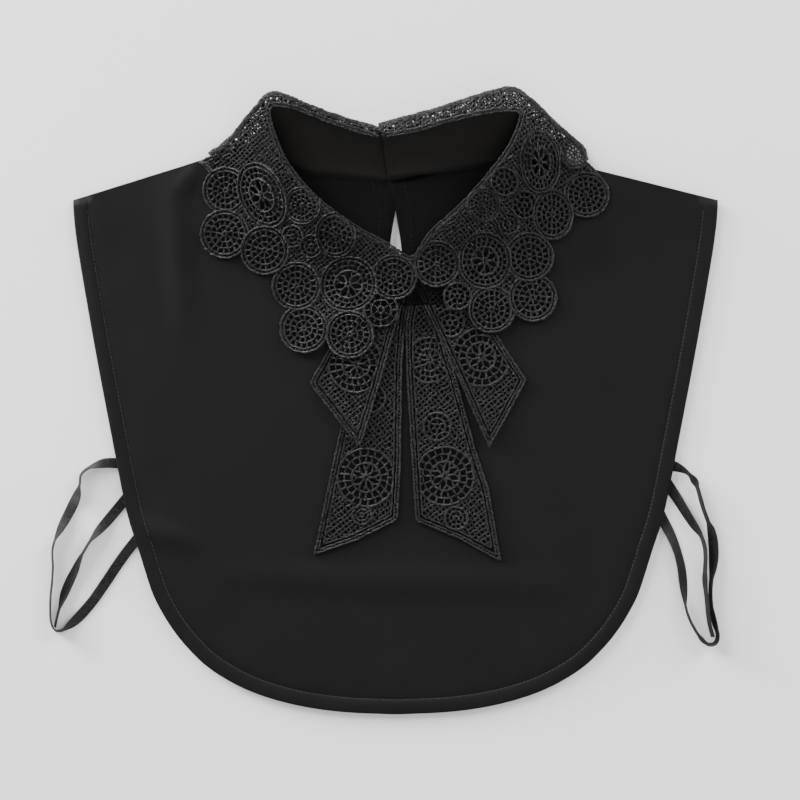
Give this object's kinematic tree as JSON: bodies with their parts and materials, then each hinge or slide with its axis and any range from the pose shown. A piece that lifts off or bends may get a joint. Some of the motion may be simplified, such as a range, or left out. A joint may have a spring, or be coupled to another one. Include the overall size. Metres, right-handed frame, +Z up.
{
  "type": "lace collar",
  "caption": "Detachable black lace collar laid flat: sleeveless front and back bib, neck stand, folded lace leaves, hanging lace tails and side elastics.",
  "frame": {"origin": "middle of the panels seen from above, on the surface that the collar lies on", "axes": "+X across the chest, to the right in the picture; +Y from the hem to the neck; +Z up from the surface, out of the front"},
  "size_m": [0.3889, 0.3625, 0.0263],
  "materials": {
    "black_cloth": "fine woven black polyester with a soft satin look",
    "black_lace": "black guipure lace of lustrous thread",
    "black_elastic": "black braided elastic",
    "black_button": "black glossy plastic"
  },
  "bodies": {
    "root": {"front_panel": "black_cloth", "back_panel": "black_cloth", "neck_stand": "black_cloth", "back_button": "black_button", "lace_leaf_left": "black_lace", "lace_leaf_right": "black_lace", "bow_tail_left_long": "black_lace", "bow_tail_right_long": "black_lace", "bow_tail_left_short": "black_lace", "bow_tail_right_short": "black_lace", "elastic_left_loop": "black_elastic", "elastic_left_inner": "black_elastic", "elastic_right_loop": "black_elastic", "elastic_right_inner": "black_elastic"}
  },
  "joints": []
}
